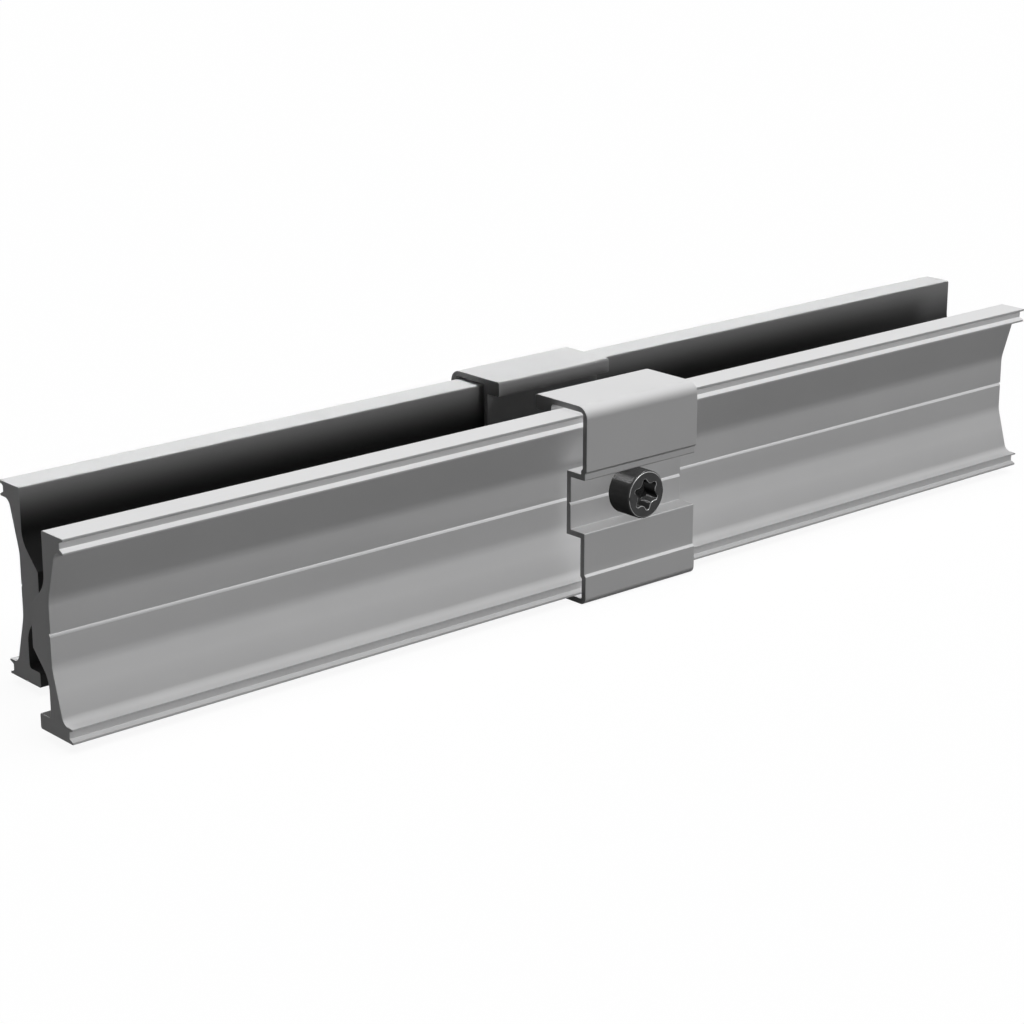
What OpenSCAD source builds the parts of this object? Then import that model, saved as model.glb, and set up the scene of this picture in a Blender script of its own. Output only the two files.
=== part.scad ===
// Rail connector: two staggered extruded bars held by a pair of clamp brackets,
// which one cross bolt and its nut draw together.
// X runs along the bars, Y from front to back, Z up. The bolt crosses at X = 0,
// Y = 0 is midway between the bars, and the brackets stand on Z = 0.

/* [Bars] */
// Length of each bar
bar_l = 344; // [200:1:600]
// Height of each bar
bar_h = 50; // [46:0.5:70]
// Depth of each bar, from its boss face to its lips
bar_d = 15.5; // [14.5:0.25:20]
// Gap between the boss faces of the two bars
channel_w = 19; // [16:0.5:40]
// How far each bar is set along from the bolt
bar_shift = 6.75; // [0:0.25:20]

/* [Bar section] */
// Thickness of the bar at its boss
boss_t = 8; // [7.5:0.25:9]
// Height of the flat face of the boss
boss_h = 10.4; // [8:0.2:13]
// Upper wall's inner face, set back from the boss face
upper_inset = 6.5; // [5:0.25:7]
// Lower wall's inner face, set back from the boss face
lower_inset = 6.3; // [5:0.1:7]
// Bottom flange's inner edge, set back from the boss face
flange_inset = 2.5; // [0:0.25:4]
// Thickness of the bottom flange at its inner edge
flange_t = 4; // [3:0.25:5]
// Height of the upright middle band of the outer face
mid_band_h = 16.4; // [12:0.2:20]
// Slope of the outer face above and below that band, in degrees
face_slope = 16; // [10:0.5:17]
// Depth of the groove between each pair of lips
lip_groove_d = 1.5; // [0.5:0.1:2]
// Radius under the lips
lip_fillet_r = 2.4; // [1:0.1:3]
// Depth of the scribed centre line
scribe_d = 0.5; // [0.2:0.05:0.8]

/* [Clamp brackets] */
// Length of each bracket along the bars
clip_l = 41; // [25:0.5:80]
// Wall thickness of the brackets
clip_t = 1.6; // [1.2:0.1:2.2]
// Gap above and below the bars, inside the brackets
bar_gap = 0.8; // [0.3:0.1:0.9]
// Gap from the lips of a bar to the bracket's outer wall, clamp open
lip_gap = 1.1; // [0.5:0.1:2]
// What is left of that gap with the clamp closed
closed_gap = 0.1; // [0.05:0.05:0.4]
// Gap from the bar's middle band to the bolt wall, clamp open
web_gap = 2.5; // [2.1:0.1:3.5]
// Offset of the jog in the outer wall
jog = 0.6; // [0.2:0.1:0.7]
// Height of the lower jog above the underside of the bars
lower_jog_z = 5.85; // [5:0.05:8]
// Height from the bolt channel up to the upper jog
upper_jog_h = 2.25; // [1.8:0.05:5]
// Outer radius of the top edge
top_r = 3.3; // [2:0.1:4]
// Outer radius of the bottom edge
bottom_r = 2; // [1.7:0.1:3]
// Gap from the upper wall of a bar to the bracket's inner leg
leg_gap = 2.3; // [0.8:0.1:3]
// Thickness of the inner leg
leg_t = 1.5; // [1:0.1:2.5]
// Height of the inner leg, from the bracket's top
leg_h = 16.4; // [12:0.2:17]
// Width of the hook bead, from the inner leg
bead_w = 4.8; // [3:0.1:6]
// Height of the hook bead
bead_h = 4.2; // [3:0.1:6]
// How far the bottom plate reaches in past the lips
floor_reach = 12; // [8:0.5:14]

/* [Bolt and nut] */
// Thread diameter of the bolt
bolt_d = 8; // [6:0.5:9]
// Diameter of the bolt head
head_d = 13.3; // [12:0.1:16]
// Height of the bolt head
head_h = 7.8; // [6.5:0.1:9]
// Size of the six-lobe socket across its lobes
socket_d = 9; // [7:0.1:9.6]
// Depth of the socket
socket_h = 4.2; // [3:0.1:5]
// Turn of the socket's lobes, in degrees
socket_turn = 38.5; // [0:0.5:60]
// Nut size across flats
nut_af = 13; // [11:0.5:15]
// Height of the nut
nut_h = 6.5; // [5:0.1:8]
// Length of bolt that shows past the nut
tip_out = 0.3; // [0:0.1:6]
// Gap all round the bolt in the bars and brackets
hole_gap = 0.5; // [0.2:0.05:0.9]
// Running gap all round the bolt in the nut
thread_gap = 0.04; // [0.02:0.01:0.09]
// Gap above and below the head or the nut in its channel
channel_gap = 0.65; // [0.4:0.05:0.9]

/* [Hidden] */
$fn = 48;
arc_steps = 8;

// Bars: heights from the underside of the bar, depths out from the boss face
mid_z = bar_h / 2;
lip_t = 0.9;
lip_back = 0.1;
lip_bevel = 0.6;
lip_pair_h = 4;
lip_root_z = bar_h - lip_pair_h;
low_root_z = lip_pair_h - lip_back;
upper_bend_z = mid_z + mid_band_h / 2;
lower_bend_z = mid_z - mid_band_h / 2;
bend_r = 10;
inner_r = 7;
boss_edge_r = 0.7;
flange_root_r = 1;
bar_edge_r = 0.6;
tip_r = 0.15;

// Scribed line: its ledge, root and lower edge as shares of its depth
scribe_ledge = 0.4;
scribe_root = 0.3;
scribe_fall = 0.9;

// Brackets: heights from the underside of the bars, depths from Y = 0
bar_z = clip_t + bar_gap;
lips_y = channel_w / 2 + bar_d;
wall_in_y = lips_y + lip_gap;
wall_y = wall_in_y + clip_t;
web_in_y = channel_w / 2 + boss_t + web_gap;
web_y = web_in_y + clip_t;
channel_h = max(nut_af, head_d) + 2 * channel_gap;
channel_top_z = mid_z + channel_h / 2;
channel_low_z = mid_z - channel_h / 2;
upper_jog_z = channel_top_z + upper_jog_h;
bend_shift = clip_t * tan(22.5);
ceiling_z = bar_h + bar_gap;
top_z = ceiling_z + clip_t;
leg_in_y = channel_w / 2 + upper_inset - leg_gap;
leg_y = leg_in_y - leg_t;
bead_y = leg_y - bead_w;
floor_y = lips_y - floor_reach;
bead_r = 0.8;
leg_root_r = 1;
shelf_r = 0.4;
// Small enough to clear the bar's top corner with the clamp closed
ceiling_r = closed_gap + bar_gap;
floor_root_r = 0.5;

// Bolt and nut
axis_z = bar_z + mid_z;
hole_d = bolt_d + 2 * hole_gap;
bolt_l = 2 * web_y + nut_h + tip_out;
head_bevel = 0.4;
tip_bevel = 0.9;
socket_out_r = socket_d / 2;
flute_share = 0.71;
lobe_share = 0.18;
socket_in_r = flute_share * socket_out_r;
lobe_r = lobe_share * socket_out_r;
nut_bevel_slope = 30;
socket_point_h = 1;
socket_point_r = 0.2;
socket_ledge = 0.1;
nut_mouth = 0.5;
overlap = 1;
seam = 0.01;

alu = [0.80, 0.81, 0.82];
alu_clip = [0.74, 0.75, 0.76];
dark_steel = [0.20, 0.20, 0.21];
zinc = [0.55, 0.56, 0.58];

function unit(v) = v / norm(v);
function flat(p) = [p[0], p[1]];

// Points of the arc that rounds the corner at b between a and c
function corner_arc(a, b, c, r) =
    let (
        p = unit(a - b),
        q = unit(c - b),
        half = acos(p * q) / 2,
        centre = b + unit(p + q) * r / sin(half),
        from = b + p * r / tan(half) - centre,
        to = b + q * r / tan(half) - centre,
        start = atan2(from[1], from[0]),
        turn = atan2(from[0] * to[1] - from[1] * to[0], from * to)
    )
    [for (i = [0 : arc_steps]) let (w = start + turn * i / arc_steps) centre + r * [cos(w), sin(w)]];

// Outline through corners given as [y, z] or [y, z, radius]
function rounded(corners) =
    let (n = len(corners))
    [
        for (i = [0 : n - 1])
            let (
                here = corners[i],
                before = flat(corners[(i + n - 1) % n]),
                after = flat(corners[(i + 1) % n])
            )
            each (len(here) > 2 ? corner_arc(before, flat(here), after, here[2]) : [here])
    ];

// Depth of the sloped outer face of a bar at height z
function face_depth(z) = boss_t + tan(face_slope) * max(z - upper_bend_z, lower_bend_z - z, 0);

// Scribed line: a ledge above and a slope below, cut into a face at depth y
function scribe(y) = [
    [y, mid_z + scribe_ledge * scribe_d],
    [y - scribe_d, mid_z + scribe_root * scribe_d],
    [y, mid_z - scribe_fall * scribe_d]
];

module along_x(length) {
    rotate([90, 0, 90])
        translate([0, 0, -length / 2])
            linear_extrude(length) children();
}

module bar_section() {
    lip_y = bar_d;
    groove_y = bar_d - lip_groove_d;
    corners = concat(
        [
            [upper_inset, bar_h, bar_edge_r],
            [lip_y, bar_h, tip_r],
            [lip_y, bar_h - lip_bevel],
            [groove_y, bar_h - 2 * lip_bevel],
            [groove_y, lip_root_z + lip_t],
            [lip_y - lip_back, lip_root_z + lip_t, tip_r],
            [lip_y - lip_back, lip_root_z],
            [face_depth(lip_root_z), lip_root_z, lip_fillet_r],
            [boss_t, upper_bend_z, bend_r]
        ],
        scribe(boss_t),
        [
            [boss_t, lower_bend_z, bend_r],
            [face_depth(low_root_z), low_root_z, lip_fillet_r],
            [lip_y, low_root_z],
            [lip_y, lip_pair_h - lip_bevel, tip_r],
            [groove_y, lip_pair_h - 2 * lip_bevel],
            [groove_y, lip_t],
            [lip_y - lip_back, lip_bevel],
            [lip_y - lip_back, 0, tip_r],
            [flange_inset, 0, bar_edge_r],
            [flange_inset, flange_t, bar_edge_r],
            [lower_inset, flange_t, flange_root_r],
            [lower_inset, mid_z - boss_h / 2 - lower_inset, inner_r],
            [0, mid_z - boss_h / 2, boss_edge_r],
            [0, mid_z + boss_h / 2, boss_edge_r],
            [upper_inset, mid_z + boss_h / 2 + upper_inset, inner_r]
        ]
    );
    polygon(rounded(corners));
}

// One bar behind the bolt, bored where the bolt crosses it
module bar() {
    difference() {
        translate([bar_shift, channel_w / 2, bar_z])
            along_x(bar_l) bar_section();
        translate([0, channel_w / 2 - overlap, axis_z])
            rotate([-90, 0, 0]) cylinder(d = hole_d, h = boss_t + 2 * overlap);
    }
}

module clip_section() {
    corners = concat(
        [
            [bead_y, top_z, bead_r],
            [wall_y, top_z, top_r],
            [wall_y, upper_jog_z + jog / 2],
            [wall_y - jog, upper_jog_z - jog / 2],
            [wall_y - jog, channel_top_z, shelf_r],
            [web_y, channel_top_z]
        ],
        scribe(web_y),
        [
            [web_y, channel_low_z],
            [wall_y - jog, channel_low_z, shelf_r],
            [wall_y - jog, lower_jog_z + jog / 2],
            [wall_y, lower_jog_z - jog / 2],
            [wall_y, -bar_z, bottom_r],
            [floor_y, -bar_z],
            [floor_y, -bar_gap],
            [wall_in_y, -bar_gap, floor_root_r],
            [wall_in_y, lower_jog_z - jog / 2 - bend_shift],
            [wall_in_y - jog, lower_jog_z + jog / 2 - bend_shift],
            [wall_in_y - jog, channel_low_z - clip_t],
            [web_in_y, channel_low_z - clip_t],
            [web_in_y, channel_top_z + clip_t],
            [wall_in_y - jog, channel_top_z + clip_t],
            [wall_in_y - jog, upper_jog_z - jog / 2 + bend_shift],
            [wall_in_y, upper_jog_z + jog / 2 + bend_shift],
            [wall_in_y, ceiling_z, ceiling_r],
            [leg_in_y, ceiling_z, leg_root_r],
            [leg_in_y, top_z - leg_h],
            [leg_y, top_z - leg_h],
            [leg_y, top_z - bead_h],
            [bead_y, top_z - bead_h, bead_r]
        ]
    );
    polygon(rounded(corners));
}

// One bracket behind the bolt, bored where the bolt crosses it
module clip() {
    difference() {
        translate([0, 0, bar_z]) along_x(clip_l) clip_section();
        translate([0, web_in_y - overlap, axis_z])
            rotate([-90, 0, 0]) cylinder(d = hole_d, h = clip_t + 2 * overlap);
    }
}

// Six lobes and six flutes, as arcs that meet on a common tangent
module six_lobe() {
    lobe_at = socket_out_r - lobe_r;
    reach = 2 * lobe_at * cos(30);
    flute_r = (pow(lobe_at, 2) + pow(socket_in_r, 2) - reach * socket_in_r - pow(lobe_r, 2))
        / (2 * lobe_r - 2 * socket_in_r + reach);
    flute_at = socket_in_r + flute_r;
    lean = acos((pow(lobe_r + flute_r, 2) + pow(flute_at, 2) - pow(lobe_at, 2))
        / (2 * (lobe_r + flute_r) * flute_at));
    lobe_half = 30 + lean;
    polygon([
        for (k = [0 : 5])
            let (lobe = 60 * k, flute = 60 * k + 30)
            each concat(
                [for (i = [-2 : 2]) lobe_at * [cos(lobe), sin(lobe)]
                    + lobe_r * [cos(lobe + lobe_half * i / 2), sin(lobe + lobe_half * i / 2)]],
                [for (i = [-1 : 1]) flute_at * [cos(flute), sin(flute)]
                    - flute_r * [cos(flute - lean * i / 2), sin(flute - lean * i / 2)]]
            )
    ]);
}

// Bolt along +Z with the underside of its head at Z = 0
module bolt_shape() {
    head_r = head_d / 2;
    shank_r = bolt_d / 2;
    difference() {
        rotate_extrude() polygon([
            [0, -head_h],
            [head_r - head_bevel, -head_h],
            [head_r, -head_h + head_bevel],
            [head_r, 0],
            [shank_r, 0],
            [shank_r, bolt_l - tip_bevel],
            [shank_r - tip_bevel, bolt_l],
            [0, bolt_l]
        ]);
        translate([0, 0, -head_h - overlap])
            linear_extrude(socket_h + overlap) rotate(-socket_turn) six_lobe();
        translate([0, 0, socket_h - head_h - seam])
            cylinder(r1 = socket_in_r - socket_ledge, r2 = socket_point_r, h = socket_point_h);
    }
}

// Hexagonal nut along +Z with its seat at Z = 0
module nut_shape() {
    corner_r = nut_af / 2 / cos(30);
    flat_r = nut_af / 2;
    drop = (corner_r - flat_r) * tan(nut_bevel_slope);
    bore_r = bolt_d / 2 + thread_gap;
    difference() {
        intersection() {
            cylinder(r = corner_r, h = nut_h, $fn = 6);
            rotate_extrude() polygon([
                [0, 0],
                [flat_r, 0],
                [corner_r + seam, drop],
                [corner_r + seam, nut_h - drop],
                [flat_r, nut_h],
                [0, nut_h]
            ]);
        }
        translate([0, 0, -overlap]) cylinder(r = bore_r, h = nut_h + 2 * overlap);
        translate([0, 0, nut_h - nut_mouth])
            cylinder(r1 = bore_r, r2 = bore_r + nut_mouth + seam, h = nut_mouth + seam);
        translate([0, 0, -seam])
            cylinder(r1 = bore_r + nut_mouth + seam, r2 = bore_r, h = nut_mouth + seam);
    }
}

module front_bar() {
    color(alu) rotate([0, 0, 180]) bar();
}

module back_bar() {
    color(alu) bar();
}

module front_clip() {
    color(alu_clip) rotate([0, 0, 180]) clip();
}

module back_clip() {
    color(alu_clip) clip();
}

module clamp_bolt() {
    color(dark_steel) translate([0, -web_y, axis_z]) rotate([-90, 0, 0]) bolt_shape();
}

module clamp_nut() {
    color(zinc) translate([0, web_y, axis_z]) rotate([-90, 0, 0]) nut_shape();
}

front_bar();
back_bar();
front_clip();
back_clip();
clamp_bolt();
clamp_nut();
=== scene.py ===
"""Looks of the rail connector: rounded copies of its extrusions, a threaded bolt and its nut, in
satin aluminium and steel, with the floor, the lamps and the camera.
"""
import math

import bmesh
import bpy
from mathutils import Matrix, Vector


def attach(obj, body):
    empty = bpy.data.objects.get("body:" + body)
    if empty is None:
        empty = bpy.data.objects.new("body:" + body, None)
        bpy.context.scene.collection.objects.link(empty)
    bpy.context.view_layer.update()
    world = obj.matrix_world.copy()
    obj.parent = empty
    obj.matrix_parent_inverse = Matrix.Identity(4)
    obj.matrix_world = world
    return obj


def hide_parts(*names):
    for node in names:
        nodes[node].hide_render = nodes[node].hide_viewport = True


MM = 0.001

# The CAD sections. Depth is |y| beyond the boss faces, height is z above the bars' underside.
AXIS_Z = 27.4 * MM
BOSS_Y = 9.5 * MM
BAR_Z = 2.4 * MM
BOLT_FACE_Y = -29.4 * MM
CHANNEL_DEPTH = 6.7 * MM
CHANNEL_INSIDE = CHANNEL_DEPTH - 0.5 * MM
GROOVE_DEPTH = 14.0 * MM
ON_LINE = 0.1 * MM

# Changes to the sections that the photo shows and the CAD does not have.
SCRIBE_HALF = 0.8 * MM
SCRIBE_EDGE_Z = (AXIS_Z - 0.5 * MM, AXIS_Z - 0.4 * MM)
SCRIBE_WIDENING = 0.25 * MM
UPPER_LEDGE = (46.3 * MM, 47.0 * MM)
UPPER_ROOT_RISE, UPPER_TIP_FALL = 0.35 * MM, 0.27 * MM
LOWER_LEDGE = (0.7 * MM, 1.0 * MM)
LOWER_ROOT_RISE = 0.25 * MM
FLANGE_EDGE_DEPTH, FLANGE_EDGE_HEIGHT = 3.2 * MM, 4.1 * MM
FLANGE_MOVE = 1.0 * MM

# Zones, by z or y, of the faces that get a material of their own: painted light on narrow slopes,
# painted shade on the shelf and the low fillet, and a painted highlight on the bolt's rim.
PAINTED_LIGHT_ZONES = ((26.6 * MM, 27.4 * MM), (48.7 * MM, 49.7 * MM), (7.9 * MM, 8.6 * MM))
PAINTED_LIGHT_FROM_Y = 16 * MM
SHELF = (13 * MM, 21 * MM)
FILLET_TOP = 17 * MM
RIM_Y = BOLT_FACE_Y + 0.12 * MM

# Parts of a face's normal that tell which way the face looks.
END_NX, SIDE_NX = 0.9, 0.5
INWARD_NY, RIM_NY = 0.5, -0.97
FILLET_NZ, LINE_NZ, SHELF_NZ = 0.1, 0.3, 0.8

# Triangles are joined where points lie this close and faces this flat, in degrees.
MERGE, FLAT = 0.002 * MM, 1.0

# Rounding of edges: widths, and the angles in degrees from which an edge is rounded.
EXTRUSION_ROUND, BOLT_ROUND, NUT_ROUND = 0.12 * MM, 0.14 * MM, 0.1 * MM
SHARP_EDGE, NUT_SHARP_EDGE = 28, 20

# Angles in degrees at which smooth shading breaks.
EXTRUSION_CREASE, HEAD_CREASE, THREAD_CREASE, NUT_CREASE = 40, 35, 25, 30

# The bolt's thread.
PITCH = 1.25 * MM
CREST_R, ROOT_R = 4.0 * MM, 3.35 * MM
THREAD_FROM, THREAD_TO = 0.4 * MM, 28.4 * MM
RUN_IN = 1.5 * PITCH
TIP_BEVEL = 0.9 * MM
THREAD_PROFILE = ((0.14, ROOT_R), (0.44, CREST_R), (0.58, CREST_R), (0.88, ROOT_R))
THREAD_STEPS = 36
THREAD_MERGE, AT_TIP = 0.001 * MM, 0.0005 * MM

# The middle part of a noise factor, where nearly all of it lies.
NOISE_LOW, NOISE_HIGH = 0.3, 0.7
COOL_TINT = 1.004

# Floor and background.
WHITE = (1, 1, 1, 1)
FLOOR_SIZE = 6.0
FLOOR_GREY, FLOOR_GLOW, AMBIENT = 0.08, 0.92, 0.02

# The camera, fitted to the straight edges of the photo.
SENSOR_MM = 36
FOCAL_PIXELS, PICTURE_PIXELS = 2609, 1024
CAMERA_AT = (-0.4699, -0.5098, 0.2355)
CAMERA_YAW, CAMERA_PITCH = math.radians(48.72), math.radians(17.61)

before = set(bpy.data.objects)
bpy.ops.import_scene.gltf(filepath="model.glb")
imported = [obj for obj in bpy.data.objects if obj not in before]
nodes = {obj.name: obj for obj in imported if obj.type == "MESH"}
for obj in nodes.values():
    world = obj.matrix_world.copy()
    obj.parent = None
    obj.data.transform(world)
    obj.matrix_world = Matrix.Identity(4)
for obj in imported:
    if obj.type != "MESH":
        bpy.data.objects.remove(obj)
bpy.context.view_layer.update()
scene = bpy.context.scene


# Mesh helpers

def new_object(name, bm):
    mesh = bpy.data.meshes.new(name)
    bm.to_mesh(mesh)
    bm.free()
    piece = bpy.data.objects.new(name, mesh)
    scene.collection.objects.link(piece)
    return piece


def clean_copy(source):
    """The node's mesh with its triangles joined into whole faces."""
    bm = bmesh.new()
    bm.from_mesh(nodes[source].data)
    bmesh.ops.remove_doubles(bm, verts=bm.verts, dist=MERGE)
    bmesh.ops.dissolve_limit(bm, angle_limit=math.radians(FLAT), verts=bm.verts, edges=bm.edges)
    return bm


def in_scribe(edge):
    """True for the edges of the scribed lines, which are too fine to round."""
    return all(abs(v.co.z - AXIS_Z) < SCRIBE_HALF for v in edge.verts)


def is_sharp(edge, limit):
    return len(edge.link_faces) == 2 and edge.calc_face_angle(0) > limit and not in_scribe(edge)


def round_edges(bm, degrees, width):
    """Rounds the edges at which faces meet at more than this angle."""
    limit = math.radians(degrees)
    bmesh.ops.bevel(
        bm, geom=[e for e in bm.edges if is_sharp(e, limit)], offset=width, offset_type="OFFSET",
        segments=3, profile=0.5, affect="EDGES", clamp_overlap=False, material=-1,
        harden_normals=False,
    )


def shade(piece, degrees):
    """Smooth shading that breaks where faces meet at more than this angle. Wide faces stay flat."""
    for face in piece.data.polygons:
        face.use_smooth = True
    piece.data.set_sharp_from_angle(angle=math.radians(degrees))
    even = piece.modifiers.new("even_normals", "WEIGHTED_NORMAL")
    even.mode = "FACE_AREA"
    even.weight = 100
    even.keep_sharp = True


# Materials

def grey(value):
    """A grey with a faint cool tint."""
    return (value, value, value * COOL_TINT, 1.0)


def material(name):
    m = bpy.data.materials.new(name)
    m.use_nodes = True
    return m, m.node_tree, m.node_tree.nodes["Principled BSDF"]


def node(tree, kind, inputs=None, **settings):
    n = tree.nodes.new(kind)
    for key, value in settings.items():
        setattr(n, key, value)
    for key, value in (inputs or {}).items():
        n.inputs[key].default_value = value
    return n


def noise(tree, vector, scale, detail, roughness):
    """Noise over the vector, as its factor."""
    pattern = node(tree, "ShaderNodeTexNoise",
                   {"Scale": scale, "Detail": detail, "Roughness": roughness})
    tree.links.new(vector, pattern.inputs["Vector"])
    return pattern.outputs["Fac"]


def stretched_noise(tree, place, scale, roughness):
    """Noise with a scale of its own along each axis."""
    stretch = node(tree, "ShaderNodeMapping", {"Scale": scale})
    tree.links.new(place, stretch.inputs["Vector"])
    return noise(tree, stretch.outputs["Vector"], 1.0, 3.0, roughness)


def tones(tree, factor, value, spread):
    """Greys about value, from the middle part of a noise factor."""
    ramp = node(tree, "ShaderNodeValToRGB")
    low, high = ramp.color_ramp.elements
    low.position, low.color = NOISE_LOW, grey(value * (1 - spread))
    high.position, high.color = NOISE_HIGH, grey(value * (1 + spread))
    tree.links.new(factor, ramp.inputs["Fac"])
    return ramp.outputs["Color"]


def roughen(tree, shader, factor, low, high):
    """Roughness between low and high, from the middle part of a noise factor."""
    rough = node(tree, "ShaderNodeMapRange", {
        "From Min": NOISE_LOW, "From Max": NOISE_HIGH, "To Min": low, "To Max": high})
    tree.links.new(factor, rough.inputs["Value"])
    tree.links.new(rough.outputs["Result"], shader.inputs["Roughness"])


def dimmed(tree, place, colour, top, bottom):
    """Painted shade: the colour, darkened towards the bottom. top and bottom are each a height and
    the share left there.
    """
    axes = node(tree, "ShaderNodeSeparateXYZ")
    tree.links.new(place, axes.inputs["Vector"])
    share = node(tree, "ShaderNodeMapRange", {
        "From Min": bottom[0], "From Max": top[0], "To Min": bottom[1], "To Max": top[1]})
    tree.links.new(axes.outputs["Z"], share.inputs["Value"])
    scaled = node(tree, "ShaderNodeVectorMath", operation="SCALE")
    tree.links.new(colour, scaled.inputs[0])
    tree.links.new(share.outputs["Result"], scaled.inputs["Scale"])
    return scaled.outputs["Vector"]


def aluminium(name, value, shade_fade=None):
    """Satin mill finish with faint die lines along X. The last argument, when given, adds painted
    shade that darkens the colour towards the bottom.
    """
    m, tree, shader = material(name)
    place = node(tree, "ShaderNodeTexCoord").outputs["Object"]
    die_lines = stretched_noise(tree, place, (6.0, 4200.0, 4200.0), 0.6)
    colour = tones(tree, noise(tree, place, 45.0, 2.0, 0.5), value, 0.015)
    if shade_fade:
        colour = dimmed(tree, place, colour, *shade_fade)
    tree.links.new(colour, shader.inputs["Base Color"])
    roughen(tree, shader, die_lines, 0.52, 0.6)
    bump = node(tree, "ShaderNodeBump", {"Strength": 0.04, "Distance": 0.02 * MM})
    tree.links.new(die_lines, bump.inputs["Height"])
    tree.links.new(bump.outputs["Normal"], shader.inputs["Normal"])
    shader.inputs["Metallic"].default_value = 0.04
    shader.inputs["Specular IOR Level"].default_value = 0.1
    return m


def steel(name, value, rough, grain_scale, metallic=1.0, specular=0.5, edge=1.0):
    """Steel with a fine grain. edge is the share of the mirror image left at a slanting view."""
    m, tree, shader = material(name)
    place = node(tree, "ShaderNodeTexCoord").outputs["Object"]
    grain = stretched_noise(tree, place, grain_scale, 0.55)
    tree.links.new(tones(tree, grain, value, 0.08), shader.inputs["Base Color"])
    roughen(tree, shader, grain, *rough)
    shader.inputs["Metallic"].default_value = metallic
    shader.inputs["Specular IOR Level"].default_value = specular
    shader.inputs["Specular Tint"].default_value = (edge, edge, edge, 1.0)
    return m


def dark_steel(name, value):
    """Dark polished steel, which mirrors little of the white background."""
    return steel(name, value, (0.2, 0.24), (900.0, 260.0, 900.0),
                 metallic=0.25, specular=0.0, edge=0.05)


bar_alu = aluminium("bar_satin", 0.70)
# Painted shade in the channel between the bars, falling from 0.75 of the colour near the top to
# 0.12 deep down.
channel_shade_alu = aluminium("channel_painted_shade", 0.70,
                        shade_fade=((BAR_Z + 50 * MM, 0.75), (BAR_Z + 39 * MM, 0.12)))
clip_alu = aluminium("clip_satin", 0.68)
# Painted shade on the brackets' end faces, far darker than the bracket.
ends_shade_alu = aluminium("ends_painted_shade", 0.30)
# Painted light on narrow rising slopes, lighter than the bar and the bracket.
painted_light_alu = aluminium("slopes_painted_light", 0.86)
black_steel = dark_steel("dark_polished", 0.05)
# Painted highlight on the rounded rims of the bolt head.
rim_highlight_steel = dark_steel("rim_painted_highlight", 0.35)
# Painted shade on the shelf of a bracket's lower jog.
shelf_shade_alu = aluminium("shelf_painted_shade", 0.46)
# Painted shade low on the bars, falling to 0.8 of the colour towards the floor.
fillet_shade_alu = aluminium("fillet_painted_shade", 0.70, shade_fade=((14 * MM, 1.0), (7 * MM, 0.8)))
zinc_steel = steel("bright_plain", 0.50, (0.30, 0.42), (700.0, 300.0, 700.0))

# Each extrusion's materials, in the order of the places that the marks below give: the plain colour
# first, then painted shade and painted light.
BAR_MATERIALS = (bar_alu, channel_shade_alu, painted_light_alu, fillet_shade_alu)
CLIP_MATERIALS = (clip_alu, ends_shade_alu, painted_light_alu, shelf_shade_alu)
CHANNEL_SHADE_PLACE, PAINTED_LIGHT_PLACE, FILLET_SHADE_PLACE = 1, 2, 3
END_SHADE_PLACE, SHELF_SHADE_PLACE = 1, 3
RIM_HIGHLIGHT_PLACE = 1


# Extrusions

def widen_scribe(bm):
    """Moves the lower edge of the scribed lines down, so that their bright slope is wider."""
    for v in bm.verts:
        if SCRIBE_EDGE_Z[0] < v.co.z < SCRIBE_EDGE_Z[1]:
            v.co.z -= SCRIBE_WIDENING


def slope_ledges(bm):
    """Lets the ledges between a bar's lips fall outwards, and moves the bottom flange's edge in."""
    for v in bm.verts:
        depth = abs(v.co.y) - BOSS_Y
        height = v.co.z - BAR_Z
        if depth < FLANGE_EDGE_DEPTH and height < FLANGE_EDGE_HEIGHT:
            v.co.y -= math.copysign(FLANGE_MOVE, v.co.y)
        if depth < GROOVE_DEPTH - ON_LINE:
            continue
        at_root = depth < GROOVE_DEPTH + ON_LINE
        if UPPER_LEDGE[0] < height < UPPER_LEDGE[1]:
            v.co.z += UPPER_ROOT_RISE if at_root else -UPPER_TIP_FALL
        elif LOWER_LEDGE[0] < height < LOWER_LEDGE[1] and at_root:
            v.co.z += LOWER_ROOT_RISE


def mark_channel(bm):
    """The faces that look into the channel between the bars, which get painted shade, darker
    further down.
    """
    for face in bm.faces:
        middle = face.calc_center_median()
        depth = abs(middle.y) - BOSS_Y
        looks_in = face.normal.y * math.copysign(1, -middle.y) > INWARD_NY
        along = abs(face.normal.x) < SIDE_NX
        if along and depth < CHANNEL_DEPTH and (looks_in or depth < CHANNEL_INSIDE):
            face.material_index = CHANNEL_SHADE_PLACE


def mark_fillet(bm):
    """The faces low on a bar's outside that look up: its lower fillet and its lower ledge. They get
    painted shade, darker towards the floor.
    """
    for face in bm.faces:
        middle = face.calc_center_median()
        outside = abs(middle.y) > BOSS_Y + CHANNEL_DEPTH
        if face.normal.z > FILLET_NZ and middle.z < FILLET_TOP and outside:
            face.material_index = FILLET_SHADE_PLACE


def mark_ends_and_shelf(bm):
    """A bracket's sawn ends, and the shelf of its lower jog, which both get painted shade: a darker
    colour where shade falls.
    """
    for face in bm.faces:
        if abs(face.normal.x) > END_NX:
            face.material_index = END_SHADE_PLACE
        elif face.normal.z > SHELF_NZ and SHELF[0] < face.calc_center_median().z < SHELF[1]:
            face.material_index = SHELF_SHADE_PLACE


def mark_painted_light(bm):
    """The narrow slopes that get painted light, a lighter colour for the light they catch: scribed
    lines, upper ledge and lower jog.
    """
    for face in bm.faces:
        middle = face.calc_center_median()
        rises = face.normal.z > LINE_NZ and abs(face.normal.x) < SIDE_NX
        in_line = any(low < middle.z < high for low, high in PAINTED_LIGHT_ZONES)
        if rises and in_line and abs(middle.y) > PAINTED_LIGHT_FROM_Y:
            face.material_index = PAINTED_LIGHT_PLACE


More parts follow.
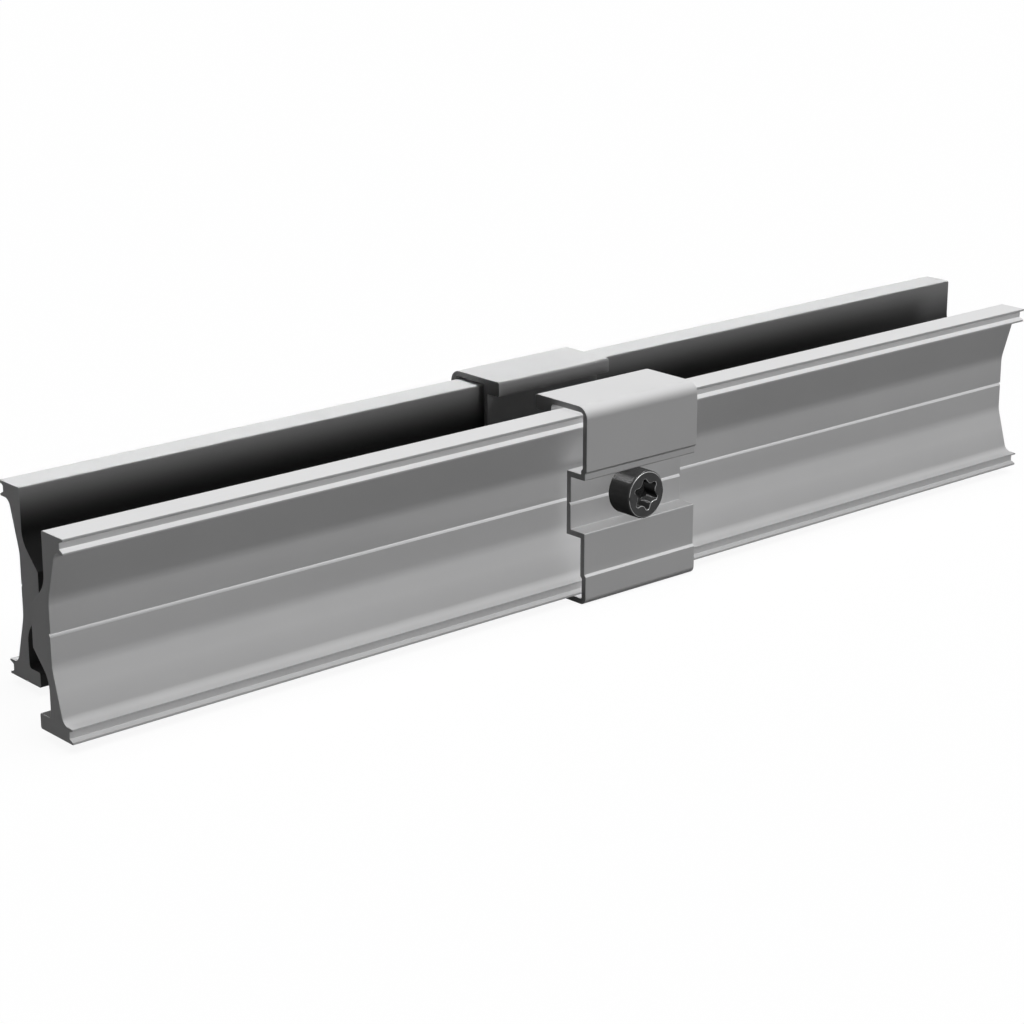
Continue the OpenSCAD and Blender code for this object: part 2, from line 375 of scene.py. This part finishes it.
def extrusion(source, body, slot, finishes):
    """A rounded copy of a bar or a bracket, with its materials, painted shade and painted light
    among them.
    """
    bm = clean_copy(source)
    widen_scribe(bm)
    if slot == "bar_aluminium":
        slope_ledges(bm)
    round_edges(bm, SHARP_EDGE, EXTRUSION_ROUND)
    if slot == "bar_aluminium":
        mark_channel(bm)
        mark_fillet(bm)
    else:
        mark_ends_and_shelf(bm)
    mark_painted_light(bm)
    piece = new_object(source + "_skin", bm)
    shade(piece, EXTRUSION_CREASE)
    for finish in finishes:
        piece.data.materials.append(finish)
    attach(piece, body)
    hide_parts(source)
    return piece


front_bar = extrusion("front_bar", "bars", "bar_aluminium", BAR_MATERIALS)
back_bar = extrusion("back_bar", "bars", "bar_aluminium", BAR_MATERIALS)
front_clip = extrusion("front_clip", "front_clamp", "clip_aluminium", CLIP_MATERIALS)
back_clip = extrusion("back_clip", "back_clamp", "clip_aluminium", CLIP_MATERIALS)


# Bolt and nut

def thread_point(share, turn, radius):
    """A point of the thread. It starts out of the plain shank and ends in the bevel of the tip."""
    along = THREAD_FROM + (share + turn) * PITCH
    y = min(max(along, THREAD_FROM), THREAD_TO)
    depth_share = min(max((y - THREAD_FROM) / RUN_IN, 0), 1)
    r = CREST_R + (radius - CREST_R) * depth_share
    r = min(r, CREST_R - max(0, y - (THREAD_TO - TIP_BEVEL)))
    angle = 2 * math.pi * turn
    return r * math.sin(angle), y, AXIS_Z + r * math.cos(angle)


def thread(bm):
    """Right-hand M8 thread along +Y, as rows that follow the helix from the shank to the tip."""
    turns = int((THREAD_TO - THREAD_FROM) / PITCH) + 2
    rows = [(k + share, r) for k in range(-1, turns) for share, r in THREAD_PROFILE]
    grid = [[bm.verts.new(thread_point(share, i / THREAD_STEPS, r)) for share, r in rows]
            for i in range(THREAD_STEPS)]
    for i, column in enumerate(grid):
        following = grid[(i + 1) % THREAD_STEPS]
        # The last column meets the first one a whole turn further on.
        shift = len(THREAD_PROFILE) if following is grid[0] else 0
        for j in range(len(rows) - 1 - shift):
            bm.faces.new((column[j + shift], column[j + shift + 1], following[j + 1], following[j]))
    bmesh.ops.remove_doubles(bm, verts=bm.verts, dist=THREAD_MERGE)
    tip = [v for v in bm.verts if v.co.y > THREAD_TO - AT_TIP]
    tip.sort(key=lambda v: math.atan2(v.co.x, v.co.z - AXIS_Z))
    bm.faces.new(tip)
    bmesh.ops.recalc_face_normals(bm, faces=bm.faces)


def mark_rims(bm):
    """The rounded edges of the head's face, at its rim and round the socket, which get a painted
    highlight.
    """
    for face in bm.faces:
        if face.calc_center_median().y < RIM_Y and face.normal.y > RIM_NY:
            face.material_index = RIM_HIGHLIGHT_PLACE


def make_bolt():
    """The head with the plain shank from the CAD, and a threaded rod from there to the tip."""
    bm = clean_copy("clamp_bolt")
    bmesh.ops.bisect_plane(
        bm, geom=bm.verts[:] + bm.edges[:] + bm.faces[:], plane_co=(0, THREAD_FROM, 0),
        plane_no=(0, 1, 0), clear_outer=True,
    )
    round_edges(bm, SHARP_EDGE, BOLT_ROUND)
    mark_rims(bm)
    head = new_object("bolt_head_and_shank", bm)
    shade(head, HEAD_CREASE)
    head.data.materials.append(black_steel)
    head.data.materials.append(rim_highlight_steel)
    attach(head, "bolt")
    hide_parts("clamp_bolt")
    bm = bmesh.new()
    thread(bm)
    rod = new_object("bolt_thread", bm)
    shade(rod, THREAD_CREASE)
    rod.data.materials.append(black_steel)
    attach(rod, "bolt")
    return head, rod


def make_nut():
    bm = clean_copy("clamp_nut")
    round_edges(bm, NUT_SHARP_EDGE, NUT_ROUND)
    nut = new_object("nut_body", bm)
    shade(nut, NUT_CREASE)
    nut.data.materials.append(zinc_steel)
    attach(nut, "back_clamp")
    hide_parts("clamp_nut")
    return nut


bolt_head, bolt_rod = make_bolt()
nut_body = make_nut()

NODE_FINISHES = {
    "front_bar": bar_alu, "back_bar": bar_alu, "front_clip": clip_alu, "back_clip": clip_alu,
    "clamp_bolt": black_steel, "clamp_nut": zinc_steel,
}
for name, finish in NODE_FINISHES.items():
    nodes[name].data.materials.clear()
    nodes[name].data.materials.append(finish)


# Floor, background, lamps and camera

def background_rays(tree):
    """1 for camera, glossy and transmission rays, 0 for the rest."""
    ray = node(tree, "ShaderNodeLightPath")
    total = ray.outputs["Is Camera Ray"]
    for kind in ("Is Glossy Ray", "Is Transmission Ray"):
        either = node(tree, "ShaderNodeMath", operation="MAXIMUM")
        tree.links.new(total, either.inputs[0])
        tree.links.new(ray.outputs[kind], either.inputs[1])
        total = either.outputs[0]
    return total


def make_floor():
    """Pale floor: a dim surface that keeps the shadow, and a glow for the background rays only."""
    bm = bmesh.new()
    bmesh.ops.create_grid(bm, x_segments=1, y_segments=1, size=FLOOR_SIZE)
    plane = new_object("floor", bm)
    m, tree, shader = material("floor_white")
    link = tree.links.new
    shader.inputs["Base Color"].default_value = grey(FLOOR_GREY)
    shader.inputs["Roughness"].default_value = 1.0
    shader.inputs["Specular IOR Level"].default_value = 0.0
    glow = node(tree, "ShaderNodeEmission", {"Color": WHITE})
    strength = node(tree, "ShaderNodeMath", {1: FLOOR_GLOW}, operation="MULTIPLY")
    link(background_rays(tree), strength.inputs[0])
    link(strength.outputs[0], glow.inputs["Strength"])
    both = node(tree, "ShaderNodeAddShader")
    link(shader.outputs["BSDF"], both.inputs[0])
    link(glow.outputs["Emission"], both.inputs[1])
    link(both.outputs["Shader"], tree.nodes["Material Output"].inputs["Surface"])
    plane.data.materials.append(m)
    return plane


def make_world():
    """A dim world, which the background rays see as white."""
    world = bpy.data.worlds.new("studio")
    scene.world = world
    world.use_nodes = True
    tree = world.node_tree
    link = tree.links.new
    dim = tree.nodes["Background"]
    dim.inputs["Color"].default_value = WHITE
    dim.inputs["Strength"].default_value = AMBIENT
    seen = node(tree, "ShaderNodeBackground", {"Color": WHITE, "Strength": 1.0})
    mix = node(tree, "ShaderNodeMixShader")
    link(background_rays(tree), mix.inputs["Fac"])
    link(dim.outputs["Background"], mix.inputs[1])
    link(seen.outputs["Background"], mix.inputs[2])
    link(mix.outputs["Shader"], tree.nodes["World Output"].inputs["Surface"])


def soft_light(name, azimuth, elevation, angle, strength, lit, shadow=True):
    """A far lamp of this apparent size in degrees, on the pieces in lit only.

    Azimuth 0 is the front, -Y, and 90 is the +X side. A lamp without shadow shines through what
    stands before it. Mirror rays would still stop there, so it is sampled without them.
    """
    data = bpy.data.lights.new(name, "SUN")
    data.energy = strength
    data.angle = math.radians(angle)
    data.use_shadow = shadow
    data.cycles.use_multiple_importance_sampling = shadow
    lamp = bpy.data.objects.new(name, data)
    scene.collection.objects.link(lamp)
    a, e = math.radians(azimuth), math.radians(elevation)
    source = Vector((math.sin(a) * math.cos(e), -math.cos(a) * math.cos(e), math.sin(e)))
    lamp.rotation_euler = source.to_track_quat("Z", "Y").to_euler()
    group = bpy.data.collections.new(name + "_lights")
    for piece in lit:
        group.objects.link(piece)
    lamp.light_linking.receiver_collection = group


def make_camera():
    data = bpy.data.cameras.new("camera")
    data.sensor_width = SENSOR_MM
    data.lens = SENSOR_MM * FOCAL_PIXELS / PICTURE_PIXELS
    data.clip_start = 0.01
    data.clip_end = 50
    camera = bpy.data.objects.new("camera", data)
    scene.collection.objects.link(camera)
    level = math.cos(CAMERA_PITCH)
    forward = Vector((
        level * math.cos(CAMERA_YAW), level * math.sin(CAMERA_YAW), -math.sin(CAMERA_PITCH)))
    right = Vector((math.sin(CAMERA_YAW), -math.cos(CAMERA_YAW), 0))
    up = right.cross(forward)
    x, y, z = CAMERA_AT
    camera.matrix_world = Matrix((
        (right.x, up.x, -forward.x, x),
        (right.y, up.y, -forward.y, y),
        (right.z, up.z, -forward.z, z),
        (0, 0, 0, 1),
    ))
    scene.camera = camera


floor = make_floor()
make_world()
front_pieces = [front_bar, front_clip, bolt_head, bolt_rod]
# Name, azimuth, elevation, apparent size, strength and lit pieces.
soft_light("front_key", 43, 60, 50, 2.25, front_pieces, shadow=False)
soft_light("front_top", 180, 75, 20, 1.2, front_pieces)
soft_light("bolt_fill", 20, 30, 30, 2.2, [bolt_head, bolt_rod])
soft_light("bolt_streak", 203, 42, 24, 1.6, [bolt_head], shadow=False)
soft_light("rear_top", 165, 60, 30, 3.2, [back_bar, back_clip, nut_body])
soft_light("channel_rim", 0, 8, 16, 0.5, [back_bar, back_clip])
soft_light("floor_top", 20, 75, 60, 3.0, [floor])
make_camera()
scene.view_settings.view_transform = "Standard"

bpy.context.view_layer.update()
